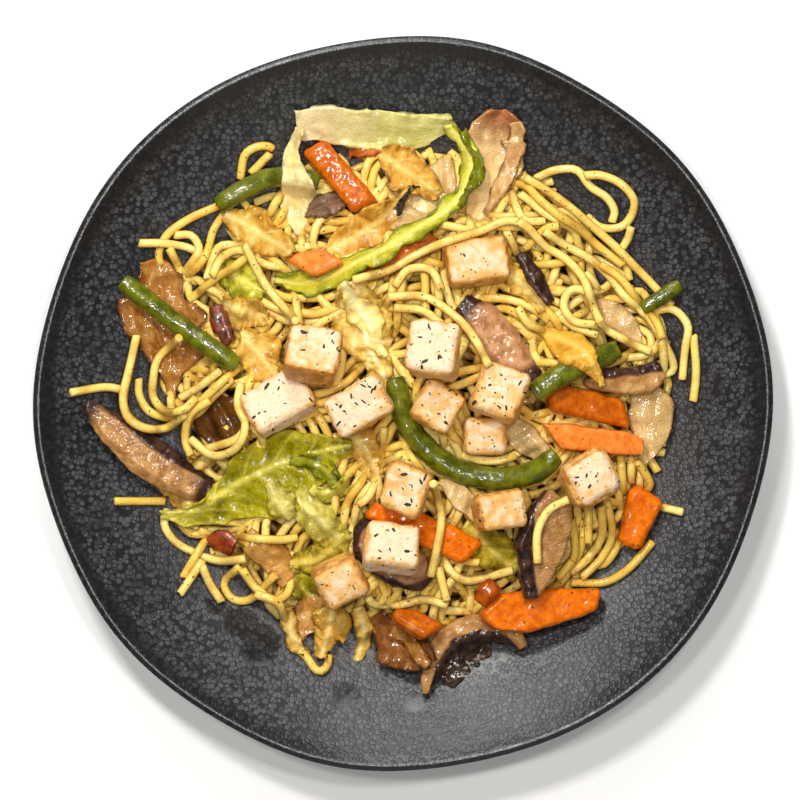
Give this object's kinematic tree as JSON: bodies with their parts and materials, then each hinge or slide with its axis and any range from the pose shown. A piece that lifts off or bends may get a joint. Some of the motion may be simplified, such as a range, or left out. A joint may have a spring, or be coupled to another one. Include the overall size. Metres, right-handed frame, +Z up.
{
  "type": "plate of fried noodles with vegetables and tofu",
  "caption": "A dark speckled coupe plate heaped with fried wheat noodles, tofu cubes, carrot, green beans, mushroom, cabbage and onion",
  "frame": {"origin": "the middle of the foot ring's underside, on the surface that the plate stands on", "axes": "+Z up, +X to the right and +Y away from the eater"},
  "size_m": [0.2714, 0.2694, 0.0598],
  "materials": {
    "glaze": "dark satin glaze with dense fine grey speckles",
    "noodle": "oily wheat noodles, pale gold with pepper specks",
    "tofu": "fried tofu, cream with golden edges and herb flakes",
    "carrot": "cooked carrot, wet orange",
    "bean": "cooked green bean, oily dark green",
    "mushroom": "browned mushroom slices, dark skin and tan gills",
    "green_leaf": "wilted green cabbage, wet and translucent",
    "yellow_leaf": "fried yellow cabbage, crumpled",
    "stem": "pale cabbage stem, wet",
    "onion": "cooked onion petals, translucent",
    "browned_onion": "caramelised onion, glossy brown",
    "pepper": "dark red fried pepper and chili"
  },
  "bodies": {
    "root": {"plate": "glaze", "noodles": "noodle", "chili": "pepper", "pepper": "pepper", "tofu_1": "tofu", "tofu_2": "tofu", "tofu_3": "tofu", "tofu_4": "tofu", "tofu_5": "tofu", "tofu_6": "tofu", "tofu_7": "tofu", "tofu_8": "tofu", "tofu_9": "tofu", "tofu_10": "tofu", "tofu_11": "tofu", "tofu_12": "tofu", "tofu_13": "tofu", "carrot_1": "carrot", "carrot_2": "carrot", "carrot_3": "carrot", "carrot_4": "carrot", "carrot_5": "carrot", "carrot_6": "carrot", "carrot_7": "carrot", "carrot_8": "carrot", "carrot_9": "carrot", "carrot_10": "carrot", "bean_1": "bean", "bean_2": "bean", "bean_3": "bean", "bean_4": "bean", "bean_5": "bean", "mushroom_1": "mushroom", "mushroom_2": "mushroom", "mushroom_3": "mushroom", "mushroom_4": "mushroom", "mushroom_5": "mushroom", "mushroom_6": "mushroom", "mushroom_7": "mushroom", "leaf_1": "stem", "leaf_2": "green_leaf", "leaf_3": "stem", "leaf_4": "yellow_leaf", "leaf_5": "yellow_leaf", "leaf_6": "yellow_leaf", "leaf_7": "yellow_leaf", "leaf_8": "yellow_leaf", "leaf_9": "green_leaf", "leaf_10": "stem", "leaf_11": "yellow_leaf", "leaf_12": "green_leaf", "leaf_13": "yellow_leaf", "leaf_14": "yellow_leaf", "onion_1": "onion", "onion_2": "onion", "onion_3": "onion", "onion_4": "browned_onion", "onion_5": "onion", "onion_6": "browned_onion", "onion_7": "browned_onion"}
  },
  "joints": []
}
